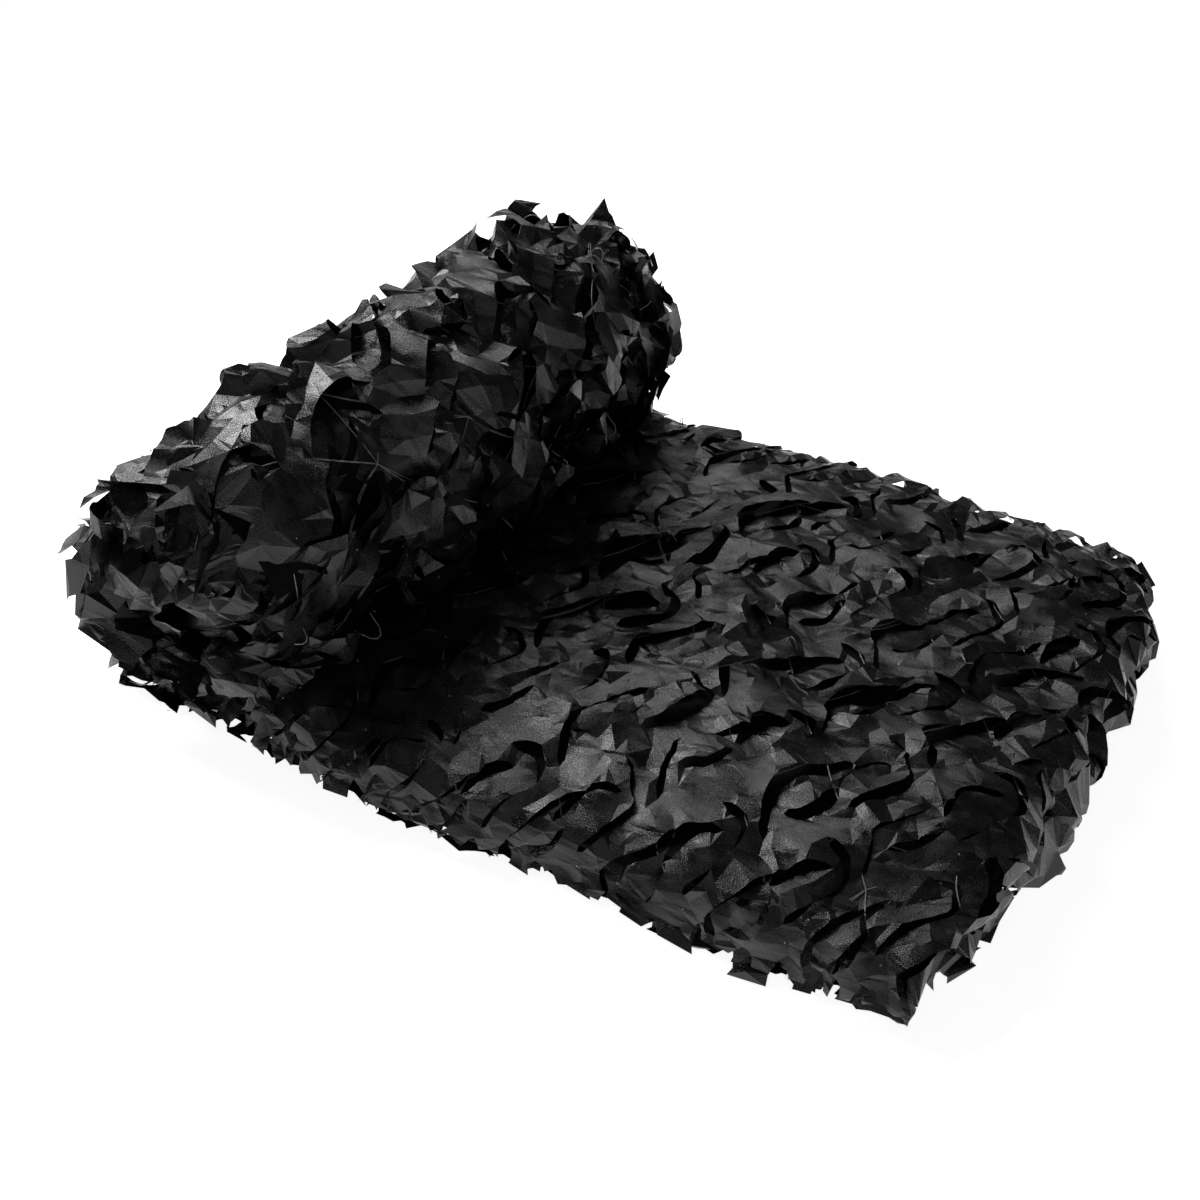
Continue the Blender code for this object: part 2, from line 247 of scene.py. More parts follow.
def facet_points(points, length, width, rng):
    """Loose rows of points between the cut lines, a facet apart."""
    taken = finder(points)
    rows = round(width / ROW_TO_ROW)
    columns = round(length / FACET)
    between = []
    for row in range(rows + 1):
        for column in range(columns + 1):
            at_rim = row in (0, rows) or column in (0, columns)
            loose = 0 if at_rim else FACET_STRAY
            shift = 0.5 if row % 2 and 0 < column < columns else 0
            p = Vector(((column - shift) * length / columns + rng.uniform(-loose, loose),
                        row * width / rows + rng.uniform(-loose, loose)))
            if taken.find((p.x, p.y, 0))[2] > CLEAR_OF_CUTS:
                between.append(p)
    return between


def inside(point, corners):
    """Whether a point lies in a triangle."""
    a, b, c = corners
    turns = [(q - p).cross(point - p) for p, q in ((a, b), (b, c), (c, a))]
    return all(t > 0 for t in turns) or all(t < 0 for t in turns)


def cut_notches(bm, notches, width):
    """Takes the cloth out of the notches."""
    boxes = [(min(p.x for p in notch), max(p.x for p in notch), notch) for notch in notches]
    waste = []
    for face in bm.faces:
        middle = face.calc_center_median().xy
        if NOTCHED_BAND < middle.y < width - NOTCHED_BAND:
            continue
        if any(low < middle.x < high and inside(middle, notch) for low, high, notch in boxes):
            waste.append(face)
    bmesh.ops.delete(bm, geom=waste, context="FACES")


def drop_scraps(bm):
    """Keeps the largest connected piece of cloth."""
    unseen = set(bm.faces)
    pieces = []
    while unseen:
        piece = {unseen.pop()}
        front = list(piece)
        while front:
            for edge in front.pop().edges:
                for other in edge.link_faces:
                    if other in unseen:
                        unseen.remove(other)
                        piece.add(other)
                        front.append(other)
        pieces.append(piece)
    largest = max(pieces, key=len)
    scraps = [face for piece in pieces if piece is not largest for face in piece]
    bmesh.ops.delete(bm, geom=scraps, context="FACES")
    bmesh.ops.delete(bm, geom=[v for v in bm.verts if not v.link_faces], context="VERTS")


TOLERANCE = 1e-4
SLIT_END = math.radians(290)            # cloth that goes further round a point than this is a slit's end


def open_slits(bm, length, width, slit_open):
    """Cuts each side of a slit back a little, away from its own boundary."""
    moves = {}
    for vert in bm.verts:
        if not vert.is_boundary:
            continue
        inward = Vector((0, 0))
        for face in vert.link_faces:
            inward += face.calc_center_median().xy - vert.co.xy
        x, y, _ = vert.co
        at_rim = min(x, length - x, y, width - y) < TOLERANCE
        spread = sum(loop.calc_angle() for loop in vert.link_loops)
        if inward.length > 1e-6 and not at_rim and spread < SLIT_END:
            moves[vert] = inward.normalized() * slit_open
    for vert, move in moves.items():
        vert.co.xy += move


LIP_REACH = 0.026           # cloth this near to a slit stands up or dips with its side
LIP_SIDES = (1, 1, 1, -1)   # three slits in four stand up on the same side


def lips(verts, slits, lip_rise, rng):
    """How far each point starts off the flat: one side of every slit stands up, the other dips."""
    facts = []
    for slit in slits:
        curve = fair_curve(slit, MESH)
        rise = rng.choice(LIP_SIDES) * rng.uniform(0.4, 1) * lip_rise
        for i, p in enumerate(curve):
            ahead = curve[min(i + 1, len(curve) - 1)] - curve[max(i - 1, 0)]
            facts.append((p, ahead.normalized(), rise * math.sin(math.pi * i / (len(curve) - 1)) ** 0.6))
    nearest = finder([fact[0] for fact in facts])
    out = []
    for v in verts:
        _, index, distance = nearest.find((v.x, v.y, 0))
        p, ahead, rise = facts[index]
        out.append(rise * math.copysign(1, ahead.cross(v.xy - p)) * max(0, 1 - distance / LIP_REACH))
    return np.array(out)


TIE_RADIUS = 0.0095


def cut_cloth(name, length, width, slit_open, lip_rise, seed):
    """A flat piece of die-cut cloth with its ties in a vertex group, and how far its lips stand."""
    rng = random.Random(seed)
    slits, ties = die_layout(length, width, rng)
    notches = edge_notches(length, width, rng)
    points, edges, slit_points = cut_lines(length, width, slits, notches)
    points += facet_points(points, length, width, rng)
    places, made_edges, faces, _, edge_source, _ = delaunay_2d_cdt(points, edges, [], 0, 1e-5)
    bm = bmesh.new()
    verts = [bm.verts.new((p.x, p.y, 0)) for p in places]
    for face in faces:
        bm.faces.new([verts[i] for i in face])
    cuts = []
    for ends, source in zip(made_edges, edge_source):
        if source and edges[source[0]][0] < slit_points:
            edge = bm.edges.get([verts[i] for i in ends])
            if edge:
                cuts.append(edge)
    bmesh.ops.split_edges(bm, edges=cuts)
    cut_notches(bm, notches, width)
    drop_scraps(bm)
    bmesh.ops.recalc_face_normals(bm, faces=bm.faces)
    if sum(f.normal.z for f in bm.faces) < 0:
        bmesh.ops.reverse_faces(bm, faces=bm.faces)
    open_slits(bm, length, width, slit_open)
    mesh = bpy.data.meshes.new(name)
    bm.to_mesh(mesh)
    bm.free()
    starts = lips([v.co for v in mesh.vertices], slits, lip_rise, rng)
    cloth = placed(name, mesh)
    nearest = finder(ties)
    tied = [v.index for v in mesh.vertices if nearest.find((v.co.x, v.co.y, 0))[2] < TIE_RADIUS]
    cloth.vertex_groups.new(name="ties").add(tied, 1, "REPLACE")
    ties = [tie for tie in ties if min(tie.x, length - tie.x, tie.y, width - tie.y) > PAST_EDGE]
    return cloth, tied, ties, starts


DRIFT = 0.012               # ties stray this far from their even places
DRIFT_SCALE = 0.11
START_LIFT = 0.008          # a slow unevenness that the simulation starts from
START_WAVES = 15            # its waves to a metre
DRAWN_BY = 0.6              # the ties have been drawn together by this share of the frames
CLOTH_SETTINGS = {
    "quality": 6, "mass": 0.1, "air_damping": 2, "vertex_group_mass": "ties",
    "tension_stiffness": 15, "compression_stiffness": 15, "shear_stiffness": 8, "bending_stiffness": 2,
    "tension_damping": 5, "compression_damping": 5, "shear_damping": 5, "bending_damping": 2,
}


def raise_leaves(name, length, width, seed, drawn, slit_open, lip_rise, frames):
    """Simulates a piece of cloth whose ties are drawn to a smaller length and width than its own.

    drawn is how much smaller, along and across. The shaped cloth stays within length and width.
    """
    slack = (1 - drawn[0], 1 - drawn[1])
    flat_size = (length / slack[0], width / slack[1])
    cloth, tied, ties, starts = cut_cloth(name, *flat_size, slit_open, lip_rise, seed)
    flat = np.array([v.co[:] for v in cloth.data.vertices])
    flat_key = cloth.shape_key_add(name="flat")
    drawn_key = cloth.shape_key_add(name="drawn")

    def drawn_place(x, y):
        place = Vector((x / DRIFT_SCALE, y / DRIFT_SCALE, seed))
        return (x * slack[0] + DRIFT * noise.noise(place),
                y * slack[1] + DRIFT * noise.noise(place + Vector((31, 17, 5))))

    for i, (x, y, _) in enumerate(flat):
        wave = noise.noise(Vector((x * START_WAVES, y * START_WAVES, seed + 9)))
        flat_key.data[i].co.z = starts[i] / 2 + START_LIFT * wave
        drawn_key.data[i].co = (*drawn_place(x, y), 0)
    for i in tied:
        flat_key.data[i].co.z = 0
    for value, frame_number in ((0, 1), (1, int(frames * DRAWN_BY))):
        drawn_key.value = value
        drawn_key.keyframe_insert("value", frame=frame_number)
    modifier = cloth.modifiers.new("cloth", "CLOTH")
    for setting, value in CLOTH_SETTINGS.items():
        setattr(modifier.settings, setting, value)
    modifier.settings.effector_weights.gravity = 0
    modifier.collision_settings.use_collision = False
    modifier.point_cache.frame_end = frames
    for step in range(1, frames + 1):
        scene.frame_set(step)
    shaped_cloth = cloth.evaluated_get(bpy.context.evaluated_depsgraph_get())
    shaped_mesh = bpy.data.meshes.new_from_object(shaped_cloth)
    shaped = np.array([v.co[:] for v in shaped_mesh.vertices])
    faces = np.array([polygon.vertices[:] for polygon in shaped_mesh.polygons])
    rng = random.Random(seed)
    shaped[:, 2] += starts + np.array([rng.gauss(0, FACET_RISE) for _ in shaped])
    scene.frame_set(1)
    bpy.data.objects.remove(cloth, do_unlink=True)
    bpy.data.meshes.remove(shaped_mesh)
    return {"flat": flat, "shaped": shaped, "faces": faces, "length": length, "width": width,
            "ties": [drawn_place(*tie) for tie in ties], "slack": slack}


def node(material, kind, links=(), **settings):
    """Adds a node with its settings. links are (own input, other node, its output)."""
    made = material.node_tree.nodes.new(kind)
    for name, value in settings.items():
        if name in made.inputs:
            made.inputs[name].default_value = value
        else:
            setattr(made, name, value)
    for own, other, output in links:
        material.node_tree.links.new(other.outputs[output], made.inputs[own])
    return made


# Polyester film coating on a woven base. The coating is calendered: satin, with a frosted bloom where
# the grain of the weave has worn through its shine, long soft pleats from the roll it was sold on,
# and hard creases that break the light into flat facets.
FILM_BLACK = "#070708"
FILM_FROST = "#1c1c1d"
CLOUD_MM = 33.333           # one patch of bloom to the next
GRAIN_MM = 1.4286           # the weave's grain is about 0.4 mm, drawn coarser so that it shows
GRAIN_DEEP = 0.0005
PLEAT_MM = (111.11, 13.333)             # a pleat's length and width
PLEAT_DEEP = 0.0032
CREASE_MM = (62.5, 31.25)               # a facet between creases
CREASE_DEEP = 0.009
SLANT = (0, 0, math.radians(35))        # pleats and creases run this way over the cloth


def coated_polyester():
    """The cloth's coated face."""
    material, shader = new_material("coated_polyester")
    shader.inputs["Specular IOR Level"].default_value = 0.5
    where = node(material, "ShaderNodeUVMap", uv_map="flat")
    # Bloom and grain together speckle the colour and the shine.
    cloud = node(material, "ShaderNodeTexNoise", [("Vector", where, "UV")],
                 Scale=1000 / CLOUD_MM, Detail=6, Roughness=0.62)
    grain = node(material, "ShaderNodeTexNoise", [("Vector", where, "UV")], Scale=1000 / GRAIN_MM, Detail=2)
    speckle = node(material, "ShaderNodeMath", [(0, cloud, "Fac"), (1, grain, "Fac")], operation="MULTIPLY")
    frost = node(material, "ShaderNodeMapRange", [("Value", speckle, "Value")],
                 **{"From Min": 0.20, "From Max": 0.38, "To Min": 0, "To Max": 1})
    colour = node(material, "ShaderNodeMix", [("Factor", frost, "Result")], data_type="RGBA")
    colour.inputs[6].default_value = srgb(FILM_BLACK)
    colour.inputs[7].default_value = srgb(FILM_FROST)
    rough = node(material, "ShaderNodeMapRange", [("Value", speckle, "Value")],
                 **{"From Min": 0.19, "From Max": 0.33, "To Min": 0.18, "To Max": 0.46})
    grain_bump = node(material, "ShaderNodeBump", [("Height", grain, "Fac")],
                      Strength=1, Distance=GRAIN_DEEP)
    # Long soft pleats.
    turned = node(material, "ShaderNodeMapping", [("Vector", where, "UV")], Rotation=SLANT,
                  Scale=(1000 / PLEAT_MM[0], 1000 / PLEAT_MM[1], 1))
    pleat = node(material, "ShaderNodeTexNoise", [("Vector", turned, "Vector")], Scale=1, Detail=1)
    pleat_bump = node(material, "ShaderNodeBump", [("Height", pleat, "Fac"),
                                                   ("Normal", grain_bump, "Normal")],
                      Strength=0.25, Distance=PLEAT_DEEP)
    # Facets: each cell of a cell pattern is a plane with a tilt of its own, eased at its rim.
    creased = node(material, "ShaderNodeMapping", [("Vector", where, "UV")], Rotation=SLANT,
                   Scale=(1000 / CREASE_MM[0], 1000 / CREASE_MM[1], 1))
    facet = node(material, "ShaderNodeTexVoronoi", [("Vector", creased, "Vector")], Scale=1)
    rim = node(material, "ShaderNodeTexVoronoi", [("Vector", creased, "Vector")],
               feature="DISTANCE_TO_EDGE", Scale=1)
    away = node(material, "ShaderNodeVectorMath", [(0, creased, "Vector"), (1, facet, "Position")],
                operation="SUBTRACT")
    tilt = node(material, "ShaderNodeVectorMath", [(0, facet, "Color")], operation="SUBTRACT")
    tilt.inputs[1].default_value = (0.5, 0.5, 0.5)
    plane = node(material, "ShaderNodeVectorMath", [(0, away, "Vector"), (1, tilt, "Vector")],
                 operation="DOT_PRODUCT")
    eased = node(material, "ShaderNodeMapRange", [("Value", rim, "Distance")],
                 **{"From Min": 0, "From Max": 0.22, "To Min": 0, "To Max": 1})
    height = node(material, "ShaderNodeMath", [(0, plane, "Value"), (1, eased, "Result")],
                  operation="MULTIPLY")
    crease_bump = node(material, "ShaderNodeBump", [("Height", height, "Value"),
                                                    ("Normal", pleat_bump, "Normal")],
                       Strength=1, Distance=CREASE_DEEP)
    join = material.node_tree.links.new
    join(colour.outputs[2], shader.inputs["Base Color"])
    join(rough.outputs["Result"], shader.inputs["Roughness"])
    join(crease_bump.outputs["Normal"], shader.inputs["Normal"])
    return material


COATED_FACE = coated_polyester()
TO_EDGE = 9                 # a window's end that lies past any cloth's edge


def piece_from(name, patch, window, mapping, material=COATED_FACE):
    """A piece of a shaped patch, within a window of its size, laid by a mapping.

    The window is its lowest and highest place along (s) and across (w). The mapping takes s, w and the
    height h off the cloth's middle, and gives places.
    """
    s, w, _ = patch["shaped"].T
    low_s, high_s, low_w, high_w = window
    in_window = (s >= low_s) & (s <= high_s) & (w >= low_w) & (w <= high_w)
    faces = patch["faces"][in_window[patch["faces"]].all(axis=1)]
    used, faces = np.unique(faces, return_inverse=True)
    faces = faces.reshape(-1, 3)
    flat = patch["flat"][used][:, :2]
    s, w, h = patch["shaped"][used].T
    places = mapping(s, w, h)
    corners = places[faces]
    facing = np.cross(corners[:, 1] - corners[:, 0], corners[:, 2] - corners[:, 0])
    outward = (mapping(s, w, h + 0.001) - places)[faces[:, 0]]
    if (facing * outward).sum() < 0:
        faces = faces[:, ::-1]
    mesh = bpy.data.meshes.new(name)
    mesh.from_pydata(places.tolist(), [], faces.tolist())
    mesh.uv_layers.new(name="flat").data.foreach_set("uv", flat[faces.ravel()].ravel())
    mesh.materials.append(material)
    mesh.shade_smooth()
    mesh.set_sharp_from_angle(angle=math.radians(15))
    piece = placed(name, mesh)
    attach(piece, "root")
    return piece


# ---- The slab's cover -------------------------------------------------------------------------------
# The top ply of coated cloth. It comes round the upper right fold, lies flat to the foot of the roll
# and hangs down over the slab's two long sides. Through its slits the cloth under it shows in a near-black
# matt material: painted shade for the gaps. The strip lies by the same sizes as the net's solid.

SLAB_CLOTH = raise_leaves("slab_cloth", length=1.06, width=0.98, seed=4, drawn=(0.035, 0.05),
                          slit_open=0.0044, lip_rise=0.009, frames=26)

FOLDED_WIDTH = 0.82
PLY_THICK = 0.019
PLY_GAP = 0.0060
FOLD_X = (-0.492, 0.562, -0.478, 0.572)       # the folds from the bottom ply up, left and right in turn
ROLL_X = -0.283
ROLL_RADIUS = 0.151
ROLL_SECTIONS = (
    {"y": -0.410, "size": 0.89, "lean": -0.056},
    {"y": -0.320, "size": 0.95, "lean": -0.036},
    {"y": -0.120, "size": 1.00, "lean": -0.008},
    {"y": 0.100, "size": 1.01, "lean": -0.004},
    {"y": 0.290, "size": 1.04, "lean": -0.020},
    {"y": 0.410, "size": 0.90, "lean": -0.016},
)
PLY_PITCH = PLY_THICK + PLY_GAP
HALF_WIDTH = FOLDED_WIDTH / 2
SKIN = PLY_THICK / 2        # from the middle of a ply to its face
TOP_PLY_Z = SKIN + len(FOLD_X) * PLY_PITCH
SLAB_TOP = TOP_PLY_Z + SKIN
ROLL_Z = TOP_PLY_Z + ROLL_RADIUS
SHIFT_X = 0.0410            # the drawing's origin lies this far from the middle of the net's box
LOWEST = 0.0008             # cloth that would sink lower lies on the floor at this height

# How the lying net departs from straight plies and a round roll.
DROOP = {"front": 0.24, "back": 0.08, "right": 0.10, "left": 0.12}      # shares of the height lost
NARROWER = {"front": 0.055, "back": 0.020}     # share of the width that the right end draws in
BULGE = {"front": 0.014, "back": 0.004}        # how far the middle of a long side stands out
CORNER_IN = {"right": 0.040, "left": 0.012}
ROLL_WIDER = 0.045          # the roll spreads past the slab by this share


def smooth(value):
    """0 below 0, 1 above 1, and an easy curve between."""
    value = np.clip(value, 0, 1)
    return value * value * (3 - 2 * value)


def lay_down(x, y, z):
    """Bends the drawing: rims and ends droop, corners draw in, and the roll swells, tapers and leans.

    Each smooth() says where a change begins, and over how many metres it comes in.
    """
    above = np.maximum(z - SLAB_TOP, 0)
    below = z - above
    risen = smooth(above / 0.10)
    rim = smooth((np.abs(y) - 0.24) / 0.16)
    right = smooth((x - 0.44) / 0.16)
    left = smooth((-x - 0.40) / 0.12)
    droop = (np.where(y < 0, DROOP["front"], DROOP["back"]) * rim
             + DROOP["right"] * right * (1 - rim / 2) + DROOP["left"] * left)
    wave = 0.004 * np.sin(x / 0.083 + 1.3 * y) + 0.003 * np.sin(y / 0.057 - x / 0.3)
    new_z = below * (1 - droop) + wave * (1 - rim / 2) * below / SLAB_TOP
    table_y = [row["y"] for row in ROLL_SECTIONS]
    size = np.interp(y, table_y, [row["size"] for row in ROLL_SECTIONS])
    lean = np.interp(y, table_y, [row["lean"] for row in ROLL_SECTIONS])
    new_z = new_z + above * size
    new_x = x + risen * ((size - 1) * (x - ROLL_X) + lean)
    corner = smooth((np.abs(x) - 0.38) / 0.22) * rim * (1 - risen)
    new_x = new_x - np.sign(x) * np.where(x > 0, CORNER_IN["right"], CORNER_IN["left"]) * corner
    narrower = np.where(y < 0, NARROWER["front"], NARROWER["back"]) * smooth((x - 0.36) / 0.24)
    new_y = y * (1 - narrower * (1 - risen) + ROLL_WIDER * risen)
    bulge = np.where(y < 0, BULGE["front"], BULGE["back"]) * rim * smooth(1 - np.abs(x - 0.02) / 0.36)
    new_y = new_y + (np.sign(y) * bulge + 0.005 * np.sin(x / 0.11)) * (1 - risen)
    return np.column_stack((new_x - SHIFT_X, new_y, np.maximum(new_z, LOWEST)))


class Route:
    """A line in the X-Z plane that cloth follows, with its length and its outward side."""

    def __init__(self, points, outward):
        self.points = np.array(points)
        steps = np.diff(self.points, axis=0)
        self.at = np.concatenate(([0], np.cumsum(np.hypot(*steps.T))))
        self.length = self.at[-1]
        along = np.gradient(self.points, self.at, axis=0)
        along /= np.linalg.norm(along, axis=1)[:, None]
        self.normals = np.column_stack((along[:, 1], -along[:, 0])) * outward

    def place(self, s):
        """Points and outward normals at distances along the line."""
        x, z = (np.interp(s, self.at, self.points[:, i]) for i in (0, 1))
        nx, nz = (np.interp(s, self.at, self.normals[:, i]) for i in (0, 1))
        size = np.hypot(nx, nz)
        return x, z, nx / size, nz / size


def fold_points(x, z_below, side, radius, reach, steps=12):
    """Around one fold, from its lower ply to its upper one, and a stretch of each."""
    middle = z_below + PLY_PITCH / 2
    points = [(x - side * reach * (1 - i / 8), middle - radius) for i in range(8)]
    for i in range(steps + 1):
        angle = math.pi * i / steps - math.pi / 2
        points.append((x + side * radius * math.cos(angle), middle + radius * math.sin(angle)))
    points += [(x - side * reach * i / 8, middle + radius) for i in range(1, 9)]
    return points


def over_rim(w, radius, start, steep):
    """Cloth that turns down past a rim: its place across, how far it has sunk, and its tilt."""
    past = np.maximum(np.abs(w) - start, 0)
    angle = np.minimum(past / radius, steep)
    straight = np.maximum(past - radius * steep, 0)
    across = np.minimum(np.abs(w), start) + radius * np.sin(angle) + straight * math.cos(steep)
    sunk = radius * (1 - np.cos(angle)) + straight * math.sin(steep)
    return np.sign(w) * across, sunk, angle


def waver(s, seed, scale=0.09):
    """A slow random line along a rim, about -1 to 1."""
    return np.array([2 * noise.noise(Vector((value / scale, seed * 3.7, 0.5))) for value in s])


def pressed(h, low, high):
    """Heights pressed softly between a level below and one above."""
    return np.where(h < 0, -low * np.tanh(h / -low), high * np.tanh(h / high))


RIM_START = 0.375           # the cover turns down this far from the slab's middle line
RIM_RADIUS = 0.045
RIM_STEEP = math.radians(72)
DEEPEST_SINK = 0.96         # of the slab's height
FOLD_STAND = 0.014          # leaves stand off the right fold by this much
CORNER_FLARE = 0.030        # and at its back corner by this much more

cover_points = fold_points(FOLD_X[3], TOP_PLY_Z - PLY_PITCH, 1, PLY_PITCH / 2 + SKIN, 0.06)
cover_points += [(x, SLAB_TOP) for x in np.linspace(0.49, -0.27, 40)]
cover_route = Route(cover_points, 1)


def lay_cover(offset, squeeze, mirrored=False):
    """A mapping that lays the slab's cloth over its top, with its heights squeezed."""
    middle = SLAB_CLOTH["width"] / 2

    def mapping(s, w, h):
        s = SLAB_CLOTH["length"] - s if mirrored else s
        w = middle - w if mirrored else w - middle
        x, z, nx, nz = cover_route.place(s)
        across, sunk, tilt = over_rim(w, RIM_RADIUS, RIM_START, RIM_STEEP)
        turned_out = np.maximum(nx, 0) * (0.4 + 0.8 * waver(w, 3, 0.07))
        h = offset + pressed(h * squeeze, -0.013, 0.024)
        h = h + turned_out * (FOLD_STAND + CORNER_FLARE * smooth((w - 0.30) / 0.12))
        x = x + nx * h * np.cos(tilt)
        z = z * (1 - np.minimum(sunk / SLAB_TOP, DEEPEST_SINK)) + nz * h * np.cos(tilt)
        across = across + np.sign(w) * h * np.sin(tilt)
        return lay_down(x, across, z)

    return mapping


# Painted shade: the cloth seen under the leaves gets a near-black matt material with a weave in it, for the
# gaps.
GAP_SHADE_DARK = "#030303"
GAP_SHADE_PALE = "#080808"
WEAVE_MM = 5.5556           # the threads are about 0.3 mm, drawn far coarser so that they show


def gap_shade_cloth():
    """Near-black matt cloth with a weave: painted shade for the cloth seen in the gaps between the leaves.
    """
    material, shader = new_material("painted_gap_shade")
    shader.inputs["Specular IOR Level"].default_value = 0.12
    where = node(material, "ShaderNodeUVMap", uv_map="flat")
    weave = node(material, "ShaderNodeTexNoise", [("Vector", where, "UV")], Scale=1000 / WEAVE_MM, Detail=2)
    shade = node(material, "ShaderNodeMix", [("Factor", weave, "Fac")], data_type="RGBA")
    shade.inputs[6].default_value = srgb(GAP_SHADE_DARK)
    shade.inputs[7].default_value = srgb(GAP_SHADE_PALE)
    rough = node(material, "ShaderNodeMapRange", [("Value", weave, "Fac")],
                 **{"To Min": 0.75, "To Max": 0.95})
    material.node_tree.links.new(shade.outputs[2], shader.inputs["Base Color"])
    material.node_tree.links.new(rough.outputs["Result"], shader.inputs["Roughness"])
    return material


GAP_SHADE_CLOTH = gap_shade_cloth()
lay_slab_cover = lay_cover(0.004, 0.62)
slab_cover = piece_from("slab_cover", SLAB_CLOTH, (0, cover_route.length, 0, TO_EDGE), lay_slab_cover)
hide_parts("net_cloth")
piece_from("slab_under", SLAB_CLOTH, (0, cover_route.length, 0.05, 0.93),
           lay_cover(-0.012, 0.5, mirrored=True), material=GAP_SHADE_CLOTH)


# ---- The roll's cover -------------------------------------------------------------------------------
# The outer turn of the same cloth, wound looser, so that its leaves stand up more. At the near end it
# splays out to the left, and its edges lean in over the roll's two ends. The turn under it is drawn in
# the near-black matt material that paints the shade in the gaps.

LOOSE_CLOTH = raise_leaves("loose_cloth", length=1.10, width=0.95, seed=11, drawn=(0.09, 0.22),
                           slit_open=0.0035, lip_rise=0.014, frames=28)


def enlarged(patch, scale):
    """The same patch with larger leaves."""
    sizes = {name: patch[name] * scale for name in ("flat", "shaped", "length", "width")}
    return {**patch, **sizes, "ties": [(s * scale, w * scale) for s, w in patch["ties"]]}


OUTER_LEAF = 1.10           # the outer turn has larger leaves than the cloth under it
OUTER_CLOTH = enlarged(LOOSE_CLOTH, OUTER_LEAF)
ROLL_PITCH = 0.0260         # one turn to the next
COVER_HALF = 0.475          # half the width of cloth in the outer turn
FAR_DRAWN = 0.950           # the far end is drawn in to this much of its reach
END_START = 0.355           # the edges lean in from this far along the roll
END_RADIUS = 0.06
END_STEEP = math.radians(48)
END_STAND = 0.012           # no more than this of a leaf's height goes outward at an end
SPLAY = 0.060               # the near end splays by this much towards the floor at the left


def wound_points(sweep_start, sweep_end, off_middle, step=6):
    """Along the roll, clockwise from the top ply, at a distance from the strip's middle."""
    points = []
    for i in range(int((sweep_end - sweep_start) / step) + 1):
        sweep = sweep_start + i * step
        angle = math.radians(-90 - sweep)
        radius = ROLL_RADIUS - ROLL_PITCH * sweep / 360 + off_middle
        points.append((ROLL_X + radius * math.cos(angle), ROLL_Z + radius * math.sin(angle)))
    return points


def to_the_left(nx, nz):
    """How much a side of the roll faces the floor at the left."""
    return np.maximum(-0.85 * nx - 0.5 * nz, 0)


roll_route = Route(wound_points(6, 392, SKIN), -1)


def lay_roll(offset, squeeze, patch, mirrored=False):
    """A mapping that winds a patch on the roll."""

    def mapping(s, w, h):
        s = patch["length"] - s if mirrored else s
        w = COVER_HALF - w if mirrored else w - COVER_HALF
        w = np.where(w > 0, w * FAR_DRAWN, w)
        x, z, nx, nz = roll_route.place(s)
        across, sunk, tilt = over_rim(w, END_RADIUS, END_START, END_STEEP)
        h = offset + pressed(h * squeeze, -0.016, 0.032)
        leftward = to_the_left(nx, nz)
        near = smooth((-w - 0.28) / 0.17)
        leant = 1 - near * np.minimum(leftward, 1)
        h = h + near * SPLAY * leftward * (1 + 0.5 * waver(s, 21, 0.06))
        out = h * (1 - (1 - np.cos(tilt)) * leant) - sunk * leant
        across = across + np.sign(w) * np.minimum(h, END_STAND) * np.sin(tilt)
        return lay_down(x + nx * out, across, z + nz * out)

    return mapping


lay_roll_cover = lay_roll(0.006, 1.15, OUTER_CLOTH)
piece_from("roll_cover", OUTER_CLOTH, (0, roll_route.length, 0, 2 * COVER_HALF), lay_roll_cover)
piece_from("roll_under", LOOSE_CLOTH, (0, roll_route.length, 0.07, 0.88),
           lay_roll(-0.018, 0.6, LOOSE_CLOTH, mirrored=True), material=GAP_SHADE_CLOTH)


# ---- The rims of the lower plies --------------------------------------------------------------------
# Along both long sides the cut edges of the plies show as uneven rows of leaf tips, one over the
# other. Each tip sags a little past its rim.

HEM_CLOTH = enlarged(SLAB_CLOTH, 1.25)          # a rim's leaves hang free, and look larger
EDGE_CLOTH = enlarged(LOOSE_CLOTH, 1.45)
FRONT, BACK = -1, 1
END_NAMES = {FRONT: "front", BACK: "back"}
RIM_DEPTH = 0.13
RIM_REACH = 0.022           # tips stand this far past the rim of the drawing
RIM_UNEVEN = 0.014
BACK_SHORTER = 0.010
RIM_SAG = 0.95              # how steeply a tip sinks past the rim
RIM_DRAW = 0.42             # and how much of its reach that takes


def edge_band(name, patch, far_edge, start, length, depth, lay, mirrored=False):
    """A band along one cut edge of a patch. lay takes the way along, the depth from the edge and h."""
    width = patch["width"]
    window = (start, start + length) + ((width - depth, TO_EDGE) if far_edge else (0, depth))

    def mapping(s, w, h):
        s = start + length - s if mirrored else s - start
        return lay(s, width - w if far_edge else w, h)

    return piece_from(name, patch, window, mapping)


def lay_rim(side, x_start, z_middle, seed):
    """A ply's rim from x_start towards -X."""

    def lay(s, depth, h):
        reach = RIM_REACH + RIM_UNEVEN * waver(s, seed) - (BACK_SHORTER if side == BACK else 0)
        across = HALF_WIDTH + reach - depth
        past = np.maximum(across - HALF_WIDTH + 0.020, 0)
        z = z_middle - past * RIM_SAG + pressed(h * 0.7, -0.014, 0.018) + 0.004 * waver(s, seed + 50)
        return lay_down(x_start - s, side * (across - past * RIM_DRAW), z)

    return lay


for ply in range(5):
    x_start, length = (0.555, 1.03) if ply < 4 else (-0.05, 0.43)       # the top ply's only by the roll
    for side in (FRONT, BACK):
        edge_band(f"rim_{END_NAMES[side]}_{ply}", (HEM_CLOTH, EDGE_CLOTH)[ply % 2],
                  (ply + (side == BACK)) % 4 > 1, 0.01 + 0.004 * ply, length, RIM_DEPTH,
                  lay_rim(side, x_start, SKIN + ply * PLY_PITCH, ply * 2 + side), mirrored=side == BACK)


# ---- The folds --------------------------------------------------------------------------------------
# The cloth turns from one ply to the next at the two ends of the slab, and leaves spring out of each
# turn. The net's loose end lies on the floor under them.

